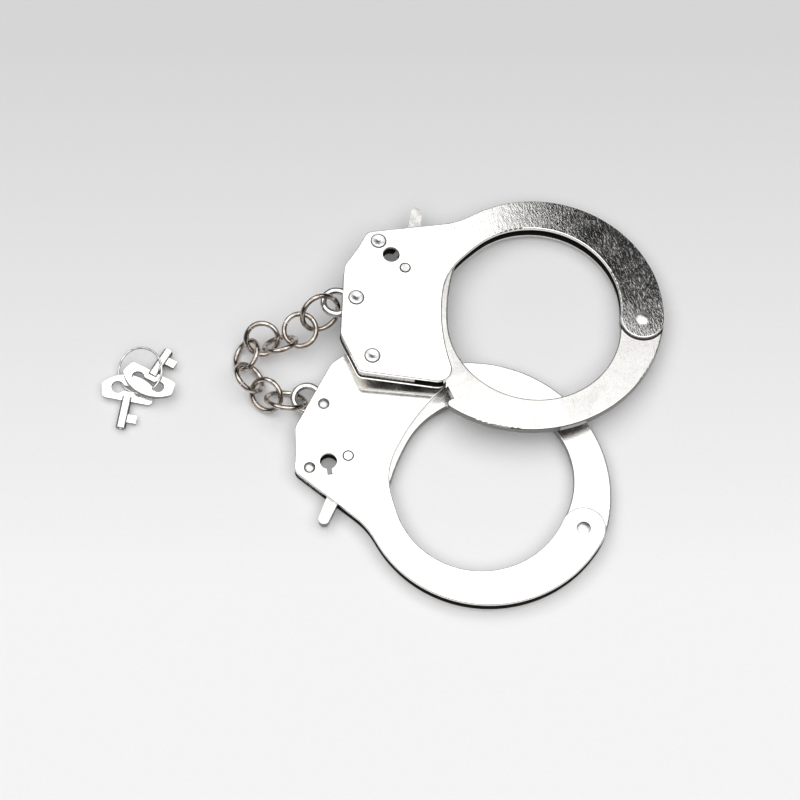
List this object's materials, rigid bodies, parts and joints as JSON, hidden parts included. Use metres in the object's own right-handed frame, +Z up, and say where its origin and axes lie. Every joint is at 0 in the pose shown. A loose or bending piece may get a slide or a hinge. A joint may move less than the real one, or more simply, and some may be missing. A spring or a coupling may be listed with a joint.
{
  "type": "handcuffs",
  "caption": "Chain-linked handcuffs with ratchet bows, swivel eyes and release levers, lying on a table beside small keys on a wire ring.",
  "frame": {"origin": "middle of the set's footprint, on the table it lies on", "axes": "+Z up from the table; +X to the right of the viewer, from the chain and keys towards the cuffs' hinges; +Y away from the viewer"},
  "size_m": [0.1792, 0.1376, 0.0167],
  "materials": {
    "plated_steel": "nickel plated, polished over fine grinding lines",
    "bright_fittings": "bright nickel plated",
    "lock_steel": "plain stamped steel",
    "chain": "nickel plated, slightly darkened",
    "keys": "bright nickel plated"
  },
  "bodies": {
    "lower_lock": {"lower_front_cheek_plate": "plated_steel", "lower_back_cheek_plate": "plated_steel", "lower_lock_spacer": "lock_steel", "lower_lock_rivets": "bright_fittings", "lower_hinge_rivet": "bright_fittings", "lower_pawl_pin": "bright_fittings", "lower_pawl_spring": "lock_steel"},
    "lower_bow": {"lower_bow": "plated_steel"},
    "lower_pawl": {"lower_pawl_with_release_lever": "lock_steel"},
    "lower_eye": {"lower_swivel_eye": "bright_fittings"},
    "link_8": {"chain_link_8": "chain"},
    "link_7": {"chain_link_7": "chain"},
    "link_6": {"chain_link_6": "chain"},
    "link_5": {"chain_link_5": "chain"},
    "link_4": {"chain_link_4": "chain"},
    "link_3": {"chain_link_3": "chain"},
    "link_2": {"chain_link_2": "chain"},
    "link_1": {"chain_link_1": "chain"},
    "upper_eye": {"upper_swivel_eye": "bright_fittings"},
    "upper_lock": {"upper_front_cheek_plate": "plated_steel", "upper_back_cheek_plate": "plated_steel", "upper_lock_spacer": "lock_steel", "upper_lock_rivets": "bright_fittings", "upper_hinge_rivet": "bright_fittings", "upper_pawl_pin": "bright_fittings", "upper_pawl_spring": "lock_steel"},
    "upper_bow": {"upper_bow": "plated_steel"},
    "upper_pawl": {"upper_pawl_with_release_lever": "lock_steel"},
    "key_ring": {"key_ring": "keys"},
    "key_1": {"key_1": "keys"},
    "key_2": {"key_2": "keys"}
  },
  "joints": [
    {"name": "lower_bow_hinge", "type": "hinge", "parent": "lower_lock", "child": "lower_bow", "pos_m": [0.06251, -0.0437, 0.0035], "axis": [0, 0, 1], "range_deg": [-15, 12]},
    {"name": "lower_pawl_pivot", "type": "hinge", "parent": "lower_lock", "child": "lower_pawl", "pos_m": [-0.01107, -0.01939, 0.0035], "axis": [0, 0, 1], "range_deg": [-5.5, 0], "deforming": ["lower_pawl_spring"]},
    {"name": "lower_eye_swivel", "type": "hinge", "parent": "lower_lock", "child": "lower_eye", "pos_m": [-0.01893, -0.00176, 0.0035], "axis": [0, 0, 1], "range_deg": [0, 4]},
    {"name": "link_8_lift", "type": "hinge", "parent": "lower_eye", "child": "link_8", "pos_m": [-0.02967, 0.00447, 0.00743], "axis": [0.9848, -0.1736, 0], "range_deg": [0, 10]},
    {"name": "link_7_lift", "type": "hinge", "parent": "link_8", "child": "link_7", "pos_m": [-0.0341, 0.0007, 0.00517], "axis": [0.9816, -0.1908, 0], "range_deg": [0, 10]},
    {"name": "link_6_lift", "type": "hinge", "parent": "link_7", "child": "link_6", "pos_m": [-0.0399, 0.00465, 0.00495], "axis": [0.866, -0.5, 0], "range_deg": [0, 10]},
    {"name": "link_5_lift", "type": "hinge", "parent": "link_6", "child": "link_5", "pos_m": [-0.0426, 0.0076, 0.0039], "axis": [0.866, -0.5, 0], "range_deg": [0, 8]},
    {"name": "link_4_lift", "type": "hinge", "parent": "link_5", "child": "link_4", "pos_m": [-0.0412, 0.0178, 0.00585], "axis": [0.7071, -0.7071, 0], "range_deg": [0, 10]},
    {"name": "link_3_lift", "type": "hinge", "parent": "link_4", "child": "link_3", "pos_m": [-0.0358, 0.0192, 0.0072], "axis": [0.5, -0.866, 0], "range_deg": [0, 10]},
    {"name": "link_2_lift", "type": "hinge", "parent": "link_3", "child": "link_2", "pos_m": [-0.02775, 0.0204, 0.00795], "axis": [0.2588, -0.9659, 0], "range_deg": [0, 10]},
    {"name": "link_1_lift", "type": "hinge", "parent": "link_2", "child": "link_1", "pos_m": [-0.0234, 0.02515, 0.00655], "axis": [0.4226, -0.9063, 0], "range_deg": [0, 10]},
    {"name": "upper_eye_lift", "type": "hinge", "parent": "link_1", "child": "upper_eye", "pos_m": [-0.01762, 0.02932, 0.01106], "axis": [0, -1, 0], "range_deg": [0, 10]},
    {"name": "upper_lock_swivel", "type": "hinge", "parent": "upper_eye", "child": "upper_lock", "pos_m": [-0.00888, 0.03136, 0.01107], "axis": [-0.0686, -0.0878, -0.9938], "range_deg": [0, 6]},
    {"name": "upper_bow_hinge", "type": "hinge", "parent": "upper_lock", "child": "upper_bow", "pos_m": [0.08242, 0.02675, 0.00517], "axis": [-0.0686, -0.0878, -0.9938], "range_deg": [-120, 16.5]},
    {"name": "upper_pawl_pivot", "type": "hinge", "parent": "upper_lock", "child": "upper_pawl", "pos_m": [0.00666, 0.04262, 0.009], "axis": [-0.0686, -0.0878, -0.9938], "range_deg": [-5.5, 0], "deforming": ["upper_pawl_spring"]},
    {"name": "key_ring_lift", "type": "slide", "parent": "lower_lock", "child": "key_ring", "axis": [0, 0, 1], "range_m": [0, 0.03]},
    {"name": "key_1_round_ring", "type": "hinge", "parent": "key_ring", "child": "key_1", "pos_m": [-0.07747, 0.01056, 0.00383], "axis": [-0.3, -0.233, 0.925], "range_deg": [0, 30]},
    {"name": "key_2_round_ring", "type": "hinge", "parent": "key_ring", "child": "key_2", "pos_m": [-0.07747, 0.01056, 0.00383], "axis": [-0.3, -0.233, 0.925], "range_deg": [-15, 0]}
  ]
}
